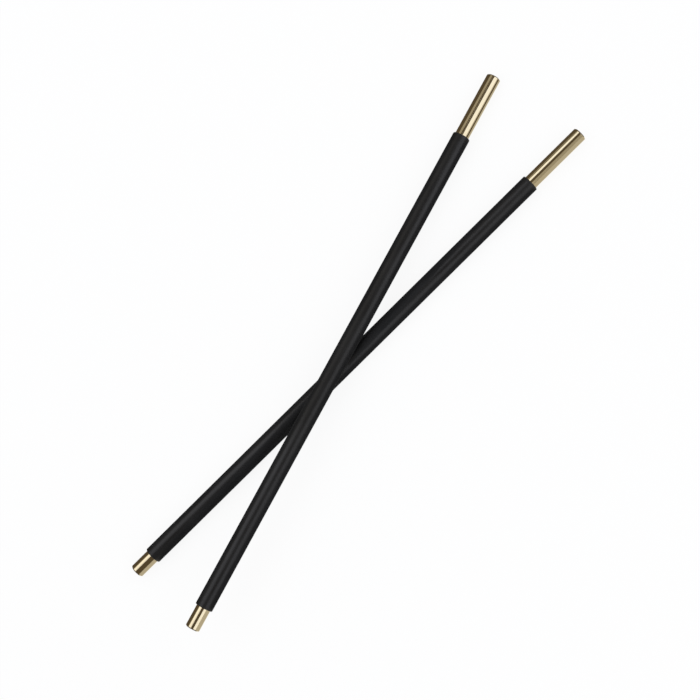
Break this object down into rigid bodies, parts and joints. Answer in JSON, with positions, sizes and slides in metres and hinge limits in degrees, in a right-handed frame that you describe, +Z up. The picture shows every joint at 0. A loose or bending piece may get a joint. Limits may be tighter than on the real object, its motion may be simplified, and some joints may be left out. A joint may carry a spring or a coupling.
{
  "type": "pair of sleeved brass rods",
  "caption": "Straight round brass rods in tight black grip sleeves, laid across each other as a matched pair, with a long bare end and a short bare end.",
  "frame": {"origin": "centre of the crossed pair's box, on the surface that the pair lies on", "axes": "+X along the lower rod towards its long bare end, +Z up; the upper rod's long bare end points towards +X and +Y"},
  "size_m": [0.254, 0.083, 0.0213],
  "materials": {
    "tube": "polished",
    "plug": "turned and polished",
    "sleeve": "smooth matte black"
  },
  "bodies": {
    "lower_rod": {"lower_rod_tube": "tube", "lower_rod_sleeve": "sleeve", "lower_rod_long_end_plug": "plug", "lower_rod_short_end_plug": "plug"},
    "upper_rod": {"upper_rod_tube": "tube", "upper_rod_sleeve": "sleeve", "upper_rod_long_end_plug": "plug", "upper_rod_short_end_plug": "plug"}
  },
  "joints": [
    {"name": "upper_rod_lift", "type": "slide", "parent": "lower_rod", "child": "upper_rod", "axis": [0, 0, 1], "range_m": [0, 0.06]}
  ]
}
